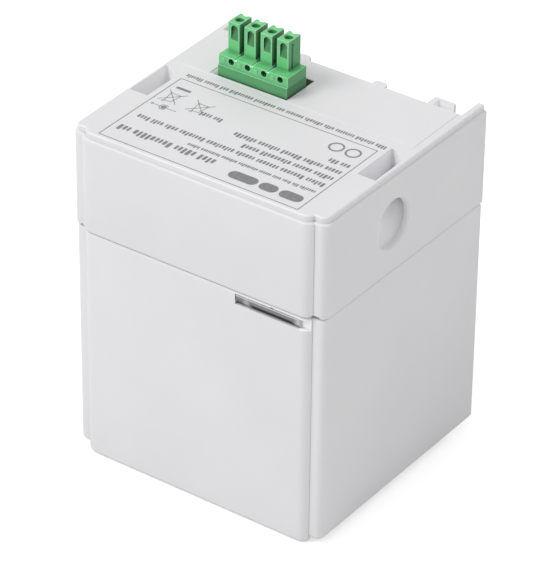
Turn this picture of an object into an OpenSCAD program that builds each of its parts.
// Battery unit that hangs on the back plate of a wall drive.
// Two moulded shells and a screwed rear cover hold nine cells and the charging board.
// Origin: centre of the underside. X to the charging port's side, Y to the wall, Z up.

/* [Housing] */
// Width across the side walls at the back edge
body_w = 79; // [78:0.1:82]
// Depth from the front panel to the back edges of the side walls
body_d = 71.9; // [70:0.1:74]
// Height from the underside to the top plate
body_h = 97.7; // [97:0.1:102]
// How much each side wall leans in from the back edge to the front
side_draft = 0.6; // [0:0.05:1.2]
// Height of the joint between the two shells
split_z = 68.6; // [68:0.1:70]
// Wall thickness of the shells
wall = 2.3; // [2.2:0.1:2.6]
// Thickness of the top plate
top_t = 2.4; // [2:0.1:3]
// Radius of the upright front edges of the body
corner_r = 2.3; // [1.5:0.1:2.6]
// Radius of the upright edges of the front panel
panel_r = 3.2; // [2.4:0.1:4]
// Radius of the upright back edges of the side walls
back_r = 0.8; // [0.4:0.1:1.2]
// Radius round the underside
bottom_r = 1.4; // [0.8:0.1:1.8]
// Height of the body's underside over the panel's lower edge
body_rise = 1.5; // [1:0.1:1.8]
// Step from the front panel's side to the body's side
panel_step_x = 3.6; // [3:0.1:4]
// Step from the front panel back to the body's front
panel_step_y = 1.75; // [1.6:0.05:2.2]
// How far the raised top lies inside the body's outline
lip_inset = 0.65; // [0.4:0.05:0.9]
// Height of the raised top above its shoulder
lip_h = 1.75; // [1.2:0.05:2.2]
// How much smaller the lower shell is all round
lower_inset = 0.28; // [0.1:0.02:0.4]
// Depth from the front panel to the back edge of the top plate
plate_d = 63.1; // [62:0.1:65]

/* [Top plate] */
// Width of a finger pocket
pocket_w = 5.5; // [4:0.1:6]
// Depth of a finger pocket below the top
pocket_depth = 6.2; // [3:0.1:6.4]
// Distance of a pocket's inner side from the centre
pocket_x = 32.1; // [31.5:0.1:32.4]
// Height of the step in the top plate behind the label field
rear_step_h = 0.1; // [0.1:0.05:0.5]

/* [Charging port] */
// Radius of the opening in the side wall
port_r = 6.7; // [6:0.1:7]
// Height of the port's axis
port_z = 82.6; // [82:0.1:83]
// Distance of the port's axis behind the front panel
port_y = 30.6; // [28:0.1:32]

/* [Output socket] */
// Distance between two poles
pole_pitch = 5.08; // [5:0.01:5.1]
// Number of poles
poles = 4; // [2:1:4]
// Height of the towers' tops above the top plate
tower_top = 14.5; // [12:0.1:16]

/* [Cells] */
// Diameter of one cell
cell_d = 14.3; // [14:0.1:14.4]
// Height of one cell without its positive button
cell_h = 49.3; // [48:0.1:49.5]

/* [Hidden] */

// Front of the body on the Y axis, and a point a given distance behind it
front = -body_d / 2;
function behind(d) = front + d;
// Half width of the body a given distance behind the front panel
function half_at(d) = body_w / 2 - side_draft * (1 - d / body_d);

arc_steps = 6;
least_r = 0.15;
panel_half = half_at(panel_step_y) - panel_step_x;
panel_side_flat = 0.15;
floor_t = body_rise + 1.6;
panel_foot_t = 2.5;
split_gap = 0.1;
upper_z = split_z + split_gap;
lower_top = split_z - split_gap;
clear = 0.15;
$fn = 48;

// Half-lap between the shells
lap_outer = 1.5;
lap_inner = 1.65;
lap_h = 2.3;

// Rear cover and its screws
cover_t = 2.3;
cover_front = plate_d - cover_t;
cover_half = half_at(cover_front) - lower_inset - wall - clear;
cover_low = floor_t + clear;
lintel_z = 87;
cover_high = lintel_z - clear;
cover_screw_x = 32;
cover_screw_z = [9.5, 79.5];
cover_boss_r = 3.2;
cover_boss_len = 12;
screw_r = 1.45;
pilot_r = 1.5;
screw_len = 9;
screw_head_r = 2.7;
screw_head_h = 1.5;

// Top plate details
rear_step_d = 42.3;
pocket_front = 24.1;
pocket_inner_end = 39.8;
pocket_outer_end = 36.2;
pocket_corner_r = 0.5;
cup_wall = 1.3;
rail_x = 26.7;
rail_w = 1.7;
rail_bar_t = 1.1;
pry_w = 2.4;
pry_h = 0.7;
rail_reach = 4.05;
rail_span = 6.2;
rail_h = 9;
nub_x = 11.8;
nub_w = 3.7;
nub_reach = 2.2;
nub_h = 6;

// Charging port
port_y0 = behind(port_y);
port_face = half_at(port_y);
port_lip_t = 1.5;
port_chamfer = 0.5;
sleeve_r = 7.1;
sleeve_wall = 1.4;
sleeve_end = 29.7;
sleeve_floor = 1.5;
nose_clear_r = 4.3;

// Charging board
board_t = 1.6;
board_low = port_z + 5.5;
board_high = board_low + board_t;
board_x0 = -32.2;
board_x1 = 29.2;
board_d0 = 6;
board_d1 = 58;
board_screw_at = [[-29.2, 9.5], [26, 9.5], [-29.2, 54.5], [26, 54.5]];
post_r = 2.6;
board_screw_r = 1.15;

// Output socket
socket_x0 = -24;
socket_w = poles * pole_pitch + 1.23;
socket_d0 = 43.2;
socket_depth = 8.4;
socket_ridge = 3.2;
socket_shoulder = 6;
ridge_step = 0.35;
tower_w = 3.5;
tower_d0 = 46.3;
tower_depth = socket_d0 + socket_depth - tower_d0;
tower_margin = 0.95;
chamber_w = 2.3;
chamber_d = 3.3;
mouth_r = 1.15;
mouth_chamfer = 0.3;
window_w = 2.2;
window_h = 4.4;
window_drop = 0.6;
window_deep = 0.9;
window_steep = 2.6;
window_shift = 0.25;
groove_w = 0.6;
groove_deep = 0.3;
opening_x0 = -26.4;
opening_x1 = socket_x0 + socket_w + 0.2;
opening_d0 = 42.85;
opening_d1 = 55.2;

// Light slot in the front panel
slot_x0 = 12.8;
slot_low = 64.8;
slot_high = 67.8;
slot_deep = 1.55;
guide_gap = 0.15;
guide_x1 = 32.3;
guide_set_back = 0.45;
guide_foot_back = 1.1;
guide_foot_h = 0.9;
guide_rib_back = 0.2;
guide_rib_h = 0.2;
guide_rib_drop = 0.25;
stub_x = 24;
led_d = 5.6;
led_peg_x = [17.6, 30.4];
led_peg_z = 58.2;

// Cell block, standing three by three on its tray
cell_pitch = 14.5;
cell_count = 9;
block_y = behind(32.4);
tray_t = 1.6;
insulator_t = 0.5;
link_t = 0.3;
button_h = 0.9;
sleeve_t = 0.35;
cells_low = floor_t + tray_t + insulator_t + link_t + button_h + 0.4;
cells_high = cells_low + cell_h;
block_half = cell_pitch + cell_d / 2;
film_clear = 0.08;
pad_low = 24;
pad_h = 26;
pad_t = 3;
pad_gap = film_clear + sleeve_t + 0.1;
cradle_x = block_half + pad_gap + pad_t + 0.1;

// Points along an arc
function arc(cx, cy, r, a0, a1) =
    [for (k = [0:arc_steps])
        let (a = a0 + (a1 - a0) * k / arc_steps)
        [cx + r * cos(a), cy + r * sin(a)]];

// The body's outline in plan, moved in by a given inset
function right_side(i) =
    let (
        p = panel_half - i,
        rp = max(panel_r - i, least_r),
        rise = panel_step_y - panel_side_flat,
        turn = rp > rise ? acos(1 - rise / rp) : 90,
        r = max(corner_r - i, least_r),
        rb = max(back_r - i, least_r),
        step_y = behind(panel_step_y) + i,
        hf = half_at(panel_step_y) - i,
        hb = body_w / 2 - i
    )
    concat(
        arc(p - rp * sin(turn), front + i + rp, rp, 270, 270 + turn),
        [[p, step_y]],
        arc(hf - r, step_y + r, r, 270, 360),
        arc(hb - rb, -front - i - rb, rb, 0, 90)
    );
function mirrored(pts) = [for (k = [len(pts) - 1:-1:0]) [-pts[k][0], pts[k][1]]];
function outline(i) = concat(right_side(i), mirrored(right_side(i)));

// Levels [height, inset] along a rounded edge: at the foot and at the top of a body
function foot_round(z, r, i) =
    [for (k = [0:4]) let (a = 90 * k / 4) [z + r * (1 - cos(a)), i + r * (1 - sin(a))]];
function top_round(z, r, i) =
    [for (k = [0:4]) let (a = 90 * k / 4) [z - r * (1 - sin(a)), i + r * (1 - cos(a))]];

// The front panel's outline in plan down to its back, moved in by a given inset
function panel_side(i) =
    let (
        p = panel_half - i,
        rp = max(panel_r - i, least_r),
        rise = panel_step_y - panel_side_flat,
        turn = rp > rise ? acos(1 - rise / rp) : 90
    )
    concat(
        arc(p - rp * sin(turn), front + i + rp, rp, 270, 270 + turn),
        [[p, behind(panel_foot_t)]]
    );
function panel_outline(i) = concat(panel_side(i), mirrored(panel_side(i)));

// A solid skinned over rings of points; each end is a fan about its middle
module skinned(rings, middle_y) {
    n = len(rings[0]);
    last = len(rings) - 1;
    foot = n * (last + 1);
    head = foot + 1;
    middles = [[0, middle_y, rings[0][0][2]], [0, middle_y, rings[last][0][2]]];
    sides = [for (k = [0:last - 1], j = [0:n - 1])
        let (a = k * n + j, b = k * n + (j + 1) % n)
        each [[a, a + n, b + n], [a, b + n, b]]];
    ends = [for (j = [0:n - 1])
        let (next = (j + 1) % n)
        each [[foot, j, next], [head, last * n + next, last * n + j]]];
    polyhedron(concat([for (r = rings) each r], middles), concat(sides, ends));
}
module skin(levels) {
    skinned([for (level = levels) [for (q = outline(level[1])) [q[0], q[1], level[0]]]], 0);
}

// Lower strip of the front panel, which hangs a little below the body
module panel_foot() {
    top = body_rise + bottom_r + 0.1;
    levels = concat(foot_round(0, bottom_r, lower_inset), [[top, lower_inset]]);
    skinned([for (level = levels) [for (q = panel_outline(level[1])) [q[0], q[1], level[0]]]],
            behind(panel_foot_t / 2));
}

// Space between the side walls: the inside, and the recess behind the top plate
module inside(i, z0, z1) {
    translate([0, 0, z0])
        linear_extrude(z1 - z0)
            polygon(outline(i));
}
module rear_recess(i, z0, z1) {
    x0 = half_at(plate_d) - i;
    x1 = half_at(body_d + 1) - i;
    translate([0, 0, z0])
        linear_extrude(z1 - z0)
            polygon([[-x0, behind(plate_d)], [x0, behind(plate_d)],
                     [x1, 1 - front], [-x1, 1 - front]]);
}

// A box placed by its low corner, with its Y given as a distance behind the front
module block(x, d, z, size) {
    translate([x, behind(d), z])
        cube(size);
}

// A rod that points along +X or along +Y
module rod_x(r, h) {
    rotate([0, 90, 0])
        cylinder(r = r, h = h);
}
module rod_y(r, h) {
    rotate([-90, 0, 0])
        cylinder(r = r, h = h);
}

// Both sides of the centre plane
module both_sides() {
    children();
    mirror([1, 0, 0])
        children();
}

// Boss for a rear cover screw, tied to the side wall by a web
module cover_boss(z) {
    boss_d0 = cover_front - cover_boss_len - clear;
    translate([cover_screw_x, behind(boss_d0), z])
        rod_y(cover_boss_r, cover_boss_len);
    block(cover_screw_x, boss_d0, z - 1,
          [half_at(boss_d0) - wall / 2 - cover_screw_x, cover_boss_len, 2]);
}
module cover_pilot(z) {
    translate([cover_screw_x, behind(cover_front - screw_len), z])
        rod_y(pilot_r, screw_len + 1);
}

// Finger pocket beside the right wall; the back side runs at an angle
function pocket_outline() =
    let (
        x1 = pocket_x + pocket_w,
        slant = atan2(pocket_inner_end - pocket_outer_end, pocket_w),
        r = pocket_corner_r,
        reach = r / tan((90 - slant) / 2)
    )
    concat(
        [[x1, behind(pocket_outer_end)], [x1, behind(pocket_front)],
         [pocket_x, behind(pocket_front)]],
        arc(pocket_x + r, behind(pocket_inner_end) - reach, r, 180, 90 - slant)
    );
module pocket_at(x) {
    translate([x, 0, body_h - pocket_depth])
        linear_extrude(pocket_depth + 1)
            polygon(pocket_outline());
}
module pocket_cup(x) {
    floor_low = body_h - pocket_depth - cup_wall;
    block(x + pocket_x - cup_wall, pocket_front - cup_wall, floor_low,
          [pocket_w + 2 * cup_wall, pocket_inner_end - pocket_front + 2 * cup_wall,
           body_h - lip_h - 0.3 - floor_low]);
}
left_pocket_shift = -2 * pocket_x - pocket_w;

// Hanging rail behind the top plate: a rib that carries a bar standing off the plate
module hanging_rail() {
    block(rail_x, plate_d - 0.5, body_h - rail_h, [rail_w, rail_reach + 0.5, rail_h]);
    block(rail_x, plate_d + rail_reach - rail_bar_t, body_h - rail_h,
          [rail_span, rail_bar_t, rail_h]);
}
module locating_nub() {
    translate([nub_x, behind(plate_d), body_h - nub_h])
        linear_extrude(nub_h)
            polygon([[-nub_w / 2, -1], [nub_w / 2, -1], [nub_w / 2, nub_reach - 0.6],
                     [nub_w / 2 - 0.8, nub_reach], [0.8 - nub_w / 2, nub_reach],
                     [-nub_w / 2, nub_reach - 0.6]]);
}

// Recess that takes the grip of a charging plug
module port_sleeve() {
    translate([sleeve_end, port_y0, port_z])
        rod_x(sleeve_r + sleeve_wall, port_face - wall / 2 - sleeve_end);
}
module port_cut() {
    translate([sleeve_end + sleeve_floor, port_y0, port_z])
        rod_x(sleeve_r, port_face - port_lip_t - sleeve_end - sleeve_floor);
    translate([port_face - port_lip_t - 1, port_y0, port_z])
        rod_x(port_r, port_lip_t + 3);
    translate([port_face - port_chamfer, port_y0, port_z])
        rotate([0, 90, 0])
            cylinder(r1 = port_r, r2 = port_r + 1.5 * port_chamfer, h = 1.5 * port_chamfer);
    translate([sleeve_end - 1, port_y0, port_z])
        rod_x(nose_clear_r, sleeve_floor + 2);
}

// Small pry notch in the joint at the foot of the front panel's side
module pry_notch() {
    block(panel_half - pry_w / 2, panel_step_y - 0.9, upper_z - 1, [pry_w, 1.3, 1 + pry_h]);
}

module upper_housing() {
    shoulder_z = body_h - lip_h;
    levels = concat(
        foot_round(upper_z, 0.5, 0),
        top_round(shoulder_z, lip_inset, 0),
        [[body_h - 0.25, lip_inset], [body_h, lip_inset + 0.25]]
    );
    color("WhiteSmoke")
        difference() {
            union() {
                difference() {
                    skin(levels);
                    inside(wall, upper_z - 1, body_h - top_t);
                    inside(lap_outer, upper_z - 1, upper_z + lap_h + clear);
                    rear_recess(wall, upper_z - 1, body_h + 1);
                }
                block(0.6 - half_at(rear_step_d) + wall, rear_step_d, body_h - 1,
                      [2 * (half_at(rear_step_d) - wall - 0.6), plate_d - rear_step_d,
                       1 + rear_step_h]);
                block(0.5 - half_at(plate_d) + wall / 2, cover_front, lintel_z,
                      [2 * half_at(plate_d) - wall - 1, cover_t, body_h - top_t / 2 - lintel_z]);
                pocket_cup(0);
                pocket_cup(left_pocket_shift);
                port_sleeve();
                both_sides() {
                    cover_boss(cover_screw_z[1]);
                    hanging_rail();
                    locating_nub();
                }
                for (at = board_screw_at)
                    translate([at[0], behind(at[1]), board_high + 0.05])
                        cylinder(r = post_r, h = body_h - top_t / 2 - board_high);
            }
            pocket_at(0);
            pocket_at(left_pocket_shift);
            port_cut();
            both_sides() {
                cover_pilot(cover_screw_z[1]);
                pry_notch();
            }
            for (at = board_screw_at)
                translate([at[0], behind(at[1]), board_high - 1])
                    cylinder(r = board_screw_r + 0.05, h = 7);
            block(opening_x0, opening_d0, body_h - top_t - 1,
                  [opening_x1 - opening_x0, opening_d1 - opening_d0, top_t + 3]);
        }
}

// Notch along the top of the lower front panel, open round its right corner
module light_slot() {
    block(slot_x0, -1, slot_low,
          [panel_half - slot_x0 + 1, 1 + slot_deep, slot_high - slot_low]);
}

module lower_housing() {
    levels = concat(
        foot_round(body_rise, bottom_r, lower_inset),
        top_round(lower_top, 0.8, lower_inset)
    );
    cavity = lower_inset + wall;
    color("WhiteSmoke")
        difference() {
            union() {
                difference() {
                    union() {
                        skin(levels);
                        panel_foot();
                        inside(lap_inner, lower_top - 2, upper_z + lap_h - clear);
                    }
                    inside(cavity, floor_t, upper_z + lap_h + 1);
                    rear_recess(cavity, -1, upper_z + lap_h + 1);
                }
                both_sides() {
                    cover_boss(cover_screw_z[0]);
                    block(cradle_x, 15, floor_t - 0.5, [2, 34, 50]);
                    block(cradle_x + 1, 30, floor_t - 0.5, [body_w / 2 - cradle_x - 3, 2, 32]);
                }
                for (x = led_peg_x)
                    translate([x, behind(1.9), led_peg_z]) {
                        rod_y(1.7, led_d - 1.95);
                        rod_y(0.72, led_d - 0.4);
                    }
            }
            light_slot();
            translate([stub_x, behind(0), (slot_low + lower_top) / 2])
                rod_y(1.3, 6);
            both_sides()
                cover_pilot(cover_screw_z[0]);
        }
}

// Places for the four rear cover screws
module cover_screw_places() {
    both_sides()
        for (z = cover_screw_z)
            translate([cover_screw_x, behind(plate_d), z])
                children();
}

module rear_cover() {
    color("WhiteSmoke")
        difference() {
            union() {
                block(-cover_half, cover_front, cover_low,
                      [2 * cover_half, cover_t, cover_high - cover_low]);
                for (x = [-18, 0, 18])
                    block(x - 0.75, plate_d - 0.5, 14, [1.5, 1.6, 58]);
            }
            cover_screw_places()
                union() {
                    translate([0, -cover_t - 1, 0])
                        rod_y(screw_r + 0.25, cover_t + 2);
                    translate([0, -screw_head_h, 0])
                        rod_y(screw_head_r + 0.2, screw_head_h + 1);
                }
            for (k = [0:5], side = [-1, 1])
                block(side * 9 - 6, cover_front - 1, 40 + 5 * k, [12, cover_t + 2, 1.8]);
        }
}

// Pan screw with a cross recess; the head is flush with the cover
module cover_screws() {
    color("Silver")
        cover_screw_places()
            difference() {
                union() {
                    translate([0, 0.02 - screw_head_h, 0])
                        rod_y(screw_head_r, screw_head_h - 0.12);
                    translate([0, -cover_t - screw_len + 1, 0])
                        rod_y(screw_r, screw_len + cover_t - screw_head_h - 0.9);
                }
                for (a = [0, 90])
                    rotate([0, a, 0])
                        translate([-1.4, -1, -0.3])
                            cube([2.8, 2, 0.6]);
            }
}

// Clear bar with a deeper foot along its lower edge and a stub towards the lamps
module light_guide() {
    low = slot_low + guide_gap;
    high = slot_high - guide_gap;
    len = guide_x1 - slot_x0 - guide_gap;
    back = slot_deep - 0.05;
    color([0.75, 0.78, 0.8, 0.6])
        union() {
            block(slot_x0 + guide_gap, guide_set_back, low + guide_foot_h,
                  [len, back - guide_set_back, high - low - guide_foot_h]);
            block(slot_x0 + guide_gap, guide_foot_back, low,
                  [len, back - guide_foot_back, guide_foot_h + 0.2]);
            block(slot_x0 + guide_gap, guide_rib_back, high - guide_rib_drop - guide_rib_h,
                  [len, back - guide_rib_back, guide_rib_h]);
            translate([stub_x, behind(slot_deep - 0.4), (slot_low + lower_top) / 2])
                rod_y(1.15, 3.4);
        }
}

// Small board behind the light guide, with three lamps facing the panel
module led_board() {
    color("DarkGreen")
        difference() {
            block(16, led_d, 56, [16, 1, 12]);
            for (x = led_peg_x)
                translate([x, behind(led_d - 1), led_peg_z])
                    rod_y(0.8, 3);
        }
}
module status_leds() {
    color("LightYellow")
        for (x = [20.4, 24, 27.6])
            translate([x, behind(led_d) - 0.45, 66.3])
                cube([1.6, 0.86, 1], center = true);
}
module led_cable() {
    color("LightGray") {
        block(19.4, led_d + 1.05, 58, [4, 0.4, 1.6]);
        block(19.4, led_d + 1.05, 58, [4, 3.2, 0.4]);
        block(19.4, led_d + 3.85, 58, [4, 0.4, board_low - 58.05]);
    }
}

// One tower with the chamber of one contact
module tower() {
    cube([tower_w, tower_depth, tower_top - socket_shoulder + 0.5]);
}
// Arched scoop in a tower's front: deep at the top, running out at the bottom
module window_scoop() {
    arch_z = window_h - window_w / 2;
    intersection() {
        union() {
            translate([-window_w / 2, -1, -0.5])
                cube([window_w, window_deep + 1, arch_z + 0.5]);
            translate([0, -1, arch_z])
                rod_y(window_w / 2, window_deep + 1);
        }
        translate([-window_w, 0, 0])
            rotate([90, 0, 90])
                linear_extrude(2 * window_w)
                    polygon([[-2, -0.1], [0, 0], [window_deep, window_steep],
                             [window_deep, window_h + 1], [-2, window_h + 1]]);
    }
}
module tower_cuts() {
    h = tower_top - socket_shoulder;
    mid = tower_w / 2;
    chamber_low = board_high - body_h - socket_shoulder - 1;
    translate([mid, tower_depth / 2, h - 2])
        cylinder(r = mouth_r, h = 4);
    translate([mid - chamber_w / 2, tower_depth / 2 - chamber_d / 2, chamber_low])
        cube([chamber_w, chamber_d, h - 1.5 - chamber_low]);
    translate([mid, tower_depth / 2, h - mouth_chamfer])
        cylinder(r1 = mouth_r, r2 = mouth_r + 2 * mouth_chamfer, h = 2 * mouth_chamfer);
    translate([mid + window_shift, 0, h - window_drop - window_h])
        window_scoop();
    translate([tower_w - 0.35, 1.1, 0.01])
        cube([1, 1.2, h - 1]);
    translate([mid, tower_depth + 0.35, 0.01])
        cylinder(r = 0.95, h = h + 1);
}

module output_socket() {
    ridge_z = body_h + socket_ridge;
    shoulder_z = body_h + socket_shoulder;
    color("ForestGreen")
        difference() {
            union() {
                block(socket_x0, socket_d0, board_high + 0.05,
                      [socket_w, socket_depth, ridge_z - board_high]);
                block(socket_x0, socket_d0 + ridge_step, board_high + 0.05,
                      [socket_w, socket_depth - ridge_step, shoulder_z - board_high - 0.05]);
                for (k = [0:poles - 1])
                    translate([socket_x0 + tower_margin + k * pole_pitch, behind(tower_d0),
                               shoulder_z - 0.5])
                        tower();
                for (k = [0:poles - 1])
                    translate([socket_x0 + 1.5 + k * pole_pitch,
                               behind(socket_d0 + ridge_step) - 0.2, ridge_z + 1.5])
                        rod_y(0.55, 1);
            }
            for (k = [0:poles - 1]) {
                translate([socket_x0 + tower_margin + k * pole_pitch, behind(tower_d0),
                           shoulder_z])
                    tower_cuts();
                translate([socket_x0 + 3.9 + k * pole_pitch, behind(socket_d0 - 1),
                           ridge_z + 1.6])
                    rod_y(0.9, 3.6);
            }
            for (k = [1:poles - 1])
                block(socket_x0 + tower_margin + k * pole_pitch - (pole_pitch - tower_w) / 2
                      - groove_w / 2, socket_d0 - 1, shoulder_z - groove_deep,
                      [groove_w, socket_depth + 2, 1]);
        }
}

// Tuning-fork contacts with solder tails
module socket_contacts() {
    tail_low = board_low - 1.4;
    foot_z = board_high + 0.4;
    leaf_top = body_h + tower_top - 2.6;
    color("Silver")
        for (k = [0:poles - 1])
            translate([socket_x0 + tower_margin + k * pole_pitch + tower_w / 2,
                       behind(tower_d0) + tower_depth / 2, 0]) {
                translate([-0.4, -0.4, tail_low])
                    cube([0.8, 0.8, foot_z - tail_low + 0.5]);
                translate([-0.9, -1.3, foot_z])
                    cube([1.8, 2.6, 1.5]);
                for (side = [-1, 1])
                    rotate([0, 0, 90 - 90 * side])
                        translate([0.9, 0, foot_z + 1])
                            rotate([0, -90, 0])
                                linear_extrude(1.8)
                                    polygon([[0, 0.95], [leaf_top - foot_z - 3, 0.55],
                                             [leaf_top - foot_z - 1, 0.95],
                                             [leaf_top - foot_z - 1, 1.25],
                                             [leaf_top - foot_z - 3, 0.9], [0, 1.3]]);
            }
}

// Charging jack: moulded body with a nose that enters the port's floor
jack_face = 29.4;
jack_len = 14;
nose_len = 2.4;
nose_r = 4.1;
barrel_r = 3.15;
barrel_depth = 9.5;
module jack_body() {
    color("DimGray")
        difference() {
            union() {
                translate([jack_face - jack_len, port_y0 - 4.5, port_z - 5.45])
                    cube([jack_len, 9, 10.9]);
                translate([jack_face - 0.5, port_y0, port_z])
                    rod_x(nose_r, nose_len + 0.5);
            }
            translate([jack_face + nose_len - barrel_depth, port_y0, port_z])
                rod_x(barrel_r, barrel_depth + 1);
            translate([jack_face + nose_len - barrel_depth - 2.5, port_y0, port_z])
                rod_x(1.3, 4);
            translate([jack_face - 8, port_y0 - 1.6, port_z + 2.5])
                cube([5, 3.2, 4]);
        }
}
module jack_pin() {
    color("Gainsboro")
        translate([jack_face + nose_len - barrel_depth - 2.3, port_y0, port_z]) {
            rod_x(1.02, barrel_depth + 1.3);
            translate([barrel_depth + 1.3, 0, 0])
                sphere(r = 1.02);
        }
}
module jack_contacts() {
    color("Silver") {
        translate([jack_face - 7.5, port_y0 - 1.2, port_z + 3.3])
            cube([4, 2.4, 0.4]);
        translate([jack_face - 7.5, port_y0 - 1.2, port_z + 3.3])
            cube([0.5, 2.4, 5]);
        translate([jack_face - jack_len - 0.45, port_y0 - 1.2, port_z - 3])
            cube([0.4, 2.4, 12]);
    }
}

module charger_board() {
    jack_slot_x = jack_face - 7.8;
    color("DarkGreen")
        difference() {
            block(board_x0, board_d0, board_low,
                  [board_x1 - board_x0, board_d1 - board_d0, board_t]);
            for (at = board_screw_at)
                translate([at[0], behind(at[1]), board_low - 1])
                    cylinder(r = 1.4, h = board_t + 2);
            translate([jack_slot_x, port_y0 - 1.5, board_low - 1])
                cube([1.1, 3, board_t + 2]);
            translate([jack_face - jack_len - 0.7, port_y0 - 1.5, board_low - 1])
                cube([0.9, 3, board_t + 2]);
            for (k = [0:poles - 1])
                translate([socket_x0 + tower_margin + k * pole_pitch + tower_w / 2,
                           behind(tower_d0) + tower_depth / 2, board_low - 1])
                    cylinder(r = 0.7, h = board_t + 2);
        }
}
module board_screws() {
    head_h = 1.6;
    color("Silver")
        for (at = board_screw_at)
            translate([at[0], behind(at[1]), board_low])
                difference() {
                    union() {
                        translate([0, 0, -head_h - 0.02])
                            cylinder(r = 2.3, h = head_h);
                        translate([0, 0, -0.5])
                            cylinder(r = board_screw_r, h = 6.8);
                    }
                    for (a = [0, 90])
                        rotate([0, 0, a])
                            translate([-1.2, -0.25, -head_h - 1])
                                cube([2.4, 0.5, 1.8]);
                }
}

// Parts soldered to the underside of the board
under = board_low - 0.03;
module charger_chip() {
    color("Black")
        translate([4, behind(22), under - 2.1]) {
            cube([10, 4, 1.9]);
            for (k = [0:7], side = [0, 1])
                translate([0.4 + 1.27 * k, side == 0 ? -1 : 3.8, 0.8])
                    cube([0.4, 1.2, 1.3]);
        }
}
module storage_capacitors() {
    color("MidnightBlue")
        for (d = [16, 26.5])
            translate([-22, behind(d), under - 12]) {
                cylinder(r = 4, h = 12);
                translate([0, 0, -0.3])
                    cylinder(r = 3.2, h = 0.6);
            }
}
module choke_core() {
    color("DarkSlateGray")
        translate([-7, behind(20), under - 7]) {
            cylinder(r = 6, h = 1);
            cylinder(r = 3, h = 7);
            translate([0, 0, 6])
                cylinder(r = 6, h = 1);
        }
}
module choke_coil() {
    color("Peru")
        translate([-7, behind(20), under - 5.8])
            difference() {
                cylinder(r = 5.4, h = 4.6);
                translate([0, 0, -1])
                    cylinder(r = 3.1, h = 7);
            }
}
module power_diodes() {
    color("Black")
        for (x = [4, 11, 18])
            block(x, 12, under - 2.3, [2.8, 5, 2.3]);
}
fuse_x = -16;
fuse_d = 38;
module line_fuse() {
    color("Gainsboro")
        translate([fuse_x, behind(fuse_d), under - 5.2])
            rod_x(2.6, 20);
}
module fuse_clips() {
    color("Silver")
        for (x = [fuse_x + 0.8, fuse_x + 14.4])
            difference() {
                block(x, fuse_d - 3.2, under - 6.5, [4.8, 6.4, 6.5]);
                translate([x - 1, behind(fuse_d), under - 5.2])
                    rod_x(2.65, 7);
                block(x - 1, fuse_d - 1.8, under - 8, [7, 3.6, 2]);
            }
}
header_x = 8;
header_d = 48;
module battery_header() {
    color("Ivory")
        difference() {
            block(header_x, header_d, under - 7, [10, 6, 7]);
            block(header_x + 0.8, header_d + 0.8, under - 8, [8.4, 4.4, 6.5]);
        }
}
module battery_plug() {
    color("Ivory")
        difference() {
            block(header_x + 0.95, header_d + 0.95, under - 10, [8.1, 4.1, 8.3]);
            for (x = [2.9, 7.1])
                translate([header_x + x, behind(header_d + 3), under - 11])
                    cylinder(r = 0.95, h = 6);
        }
}

// A wire that runs through a list of points
module wire(pts, r) {
    for (k = [0:len(pts) - 2]) {
        v = pts[k + 1] - pts[k];
        translate(pts[k])
            rotate([0, acos(v[2] / norm(v)), atan2(v[1], v[0])])
                cylinder(r = r, h = norm(v));
    }
    for (k = [1:len(pts) - 2])
        translate(pts[k])
            sphere(r = r + 0.06);
}

// Snake order of the cells: row by row, turning back at each row's end
function cell_at(k) =
    let (row = floor(k / 3), col = k % 3, turned = row % 2 == 1 ? 2 - col : col)
    [(turned - 1) * cell_pitch, block_y + (row - 1) * cell_pitch];
function cell_up(k) = k % 2 == 0;

module cells() {
    color("SeaGreen")
        for (k = [0:cell_count - 1])
            translate([cell_at(k)[0], cell_at(k)[1], cells_low])
                cylinder(r = cell_d / 2, h = cell_h);
}
module at_positive_end(k, gap) {
    z = cell_up(k) ? cells_high + gap : cells_low - gap;
    translate([cell_at(k)[0], cell_at(k)[1], z])
        rotate([cell_up(k) ? 0 : 180, 0, 0])
            children();
}
module cell_buttons() {
    color("Silver")
        for (k = [0:cell_count - 1])
            at_positive_end(k, 0.02)
                cylinder(r = 2.7, h = button_h);
}
module cell_rings() {
    color("White")
        for (k = [0:cell_count - 1])
            at_positive_end(k, 0.02)
                difference() {
                    cylinder(r = 6.2, h = 0.3);
                    translate([0, 0, -1])
                        cylinder(r = 3.2, h = 2);
                }
}

// Nickel strip from cell k to the next one, raised on the cells' ends
module link(k, z) {
    a = cell_at(k);
    b = cell_at(k + 1);
    translate([min(a[0], b[0]) - 2.5, min(a[1], b[1]) - 2.5, z])
        cube([abs(a[0] - b[0]) + 5, abs(a[1] - b[1]) + 5, link_t]);
}
links_top = cells_high + button_h + 0.07;
links_low = cells_low - button_h - 0.07 - link_t;
module top_links() {
    last = cell_at(cell_count - 1);
    color("Gainsboro") {
        for (k = [0:2:cell_count - 3])
            link(k, links_top);
        translate([last[0] - 2.5, last[1] - 2.5, links_top])
            cube([5, 11, link_t]);
    }
}
module bottom_links() {
    first = cell_at(0);
    color("Gainsboro") {
        for (k = [1:2:cell_count - 2])
            link(k, links_low);
        translate([first[0] - 2.5, first[1] - 8.5, links_low])
            cube([5, 11, link_t]);
    }
}
module insulator(z) {
    translate([-block_half, block_y - block_half, z])
        cube([2 * block_half, 2 * block_half, insulator_t]);
}
module top_insulator() {
    color("Khaki")
        insulator(links_top + link_t + 0.05);
}
module bottom_insulator() {
    color("Khaki")
        insulator(links_low - 0.05 - insulator_t);
}

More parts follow.
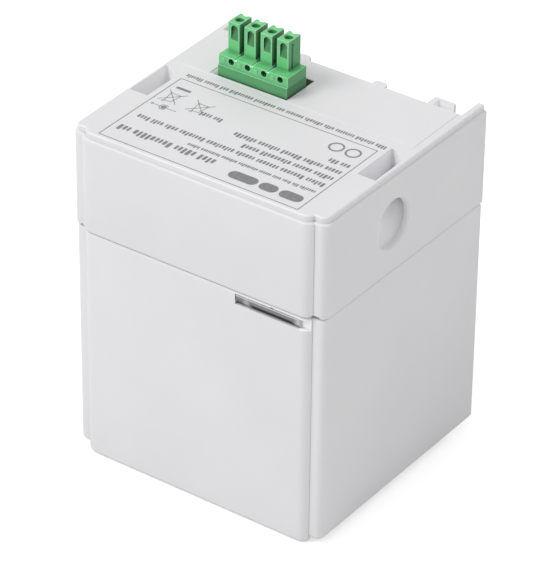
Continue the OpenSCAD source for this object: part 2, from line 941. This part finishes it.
// Shrunk film round the block of cells
module film_outline(grow) {
    r = cell_d / 2 + grow;
    half = cell_pitch;
    for (x = [-half, half], y = [-half, half])
        translate([x, y])
            circle(r = r);
    square([2 * half, 2 * (half + r)], center = true);
    square([2 * (half + r), 2 * half], center = true);
}
module pack_sleeve() {
    color("SteelBlue", 0.6)
        translate([0, block_y, cells_low + 2])
            linear_extrude(cell_h - 4)
                difference() {
                    film_outline(film_clear + sleeve_t);
                    film_outline(film_clear);
                }
}
module cell_tray() {
    tray_half = block_half + 0.9;
    color("LightGray")
        difference() {
            translate([-tray_half, block_y - tray_half, floor_t + 0.05])
                cube([2 * tray_half, 2 * tray_half, tray_t + 3]);
            translate([-block_half - 0.1, block_y - block_half - 0.1, floor_t + 0.05 + tray_t])
                cube([2 * block_half + 0.2, 2 * block_half + 0.2, 10]);
            block(-4, 0, floor_t + tray_t, [8, 20, 10]);
            block(-4 - cell_pitch, 0, floor_t + tray_t, [8, 20, 10]);
        }
}
module foam_pads() {
    front_gap = block_y - block_half - pad_gap - front - lower_inset - wall - 0.1;
    rear_gap = behind(cover_front) - block_y - block_half - pad_gap - 0.1;
    color("DimGray") {
        both_sides()
            block(block_half + pad_gap, 24, pad_low, [pad_t, 17, pad_h]);
        translate([-12, block_y - block_half - pad_gap - front_gap, pad_low])
            cube([24, front_gap, pad_h]);
        translate([-12, block_y + block_half + pad_gap, pad_low])
            cube([24, rear_gap, pad_h]);
    }
}
module thermal_fuse() {
    color("Silver")
        translate([-6, block_y + block_half + 2.2, 16])
            rod_x(1.6, 11);
}
module temperature_sensor() {
    color("Black")
        translate([12, block_y + block_half + 2.4, 55])
            union() {
                sphere(r = 1.7);
                translate([0, 0, 0.5])
                    cylinder(r = 0.9, h = 8);
            }
}

// Leads between the block of cells and the charging board
module lead_positive() {
    last = cell_at(cell_count - 1);
    z0 = links_top + link_t + 0.95;
    color("Red")
        wire([
            [last[0], last[1] + 7.8, z0],
            [last[0], last[1] + 11, z0 + 3],
            [header_x + 7.1, behind(header_d + 3), under - 22],
            [header_x + 7.1, behind(header_d + 3), under - 7]
        ], 0.85);
}
module lead_negative() {
    first = cell_at(0);
    z0 = links_low + link_t + 0.95;
    lane_x = -block_half - 7;
    color("Black")
        wire([
            [first[0], first[1] - 8, z0],
            [first[0], first[1] - 10.2, z0 + 3],
            [lane_x, first[1] - 6, z0 + 8],
            [lane_x, block_y + 10, cells_high + 2],
            [header_x + 2.9, behind(header_d + 3), under - 19],
            [header_x + 2.9, behind(header_d + 3), under - 7]
        ], 0.85);
}

upper_housing();
lower_housing();
rear_cover();
cover_screws();
light_guide();
led_board();
status_leds();
led_cable();
output_socket();
socket_contacts();
jack_body();
jack_pin();
jack_contacts();
charger_board();
board_screws();
charger_chip();
storage_capacitors();
choke_coil();
choke_core();
power_diodes();
line_fuse();
fuse_clips();
battery_header();
battery_plug();
lead_positive();
lead_negative();
cells();
cell_buttons();
cell_rings();
top_links();
bottom_links();
top_insulator();
bottom_insulator();
pack_sleeve();
cell_tray();
foam_pads();
thermal_fuse();
temperature_sensor();
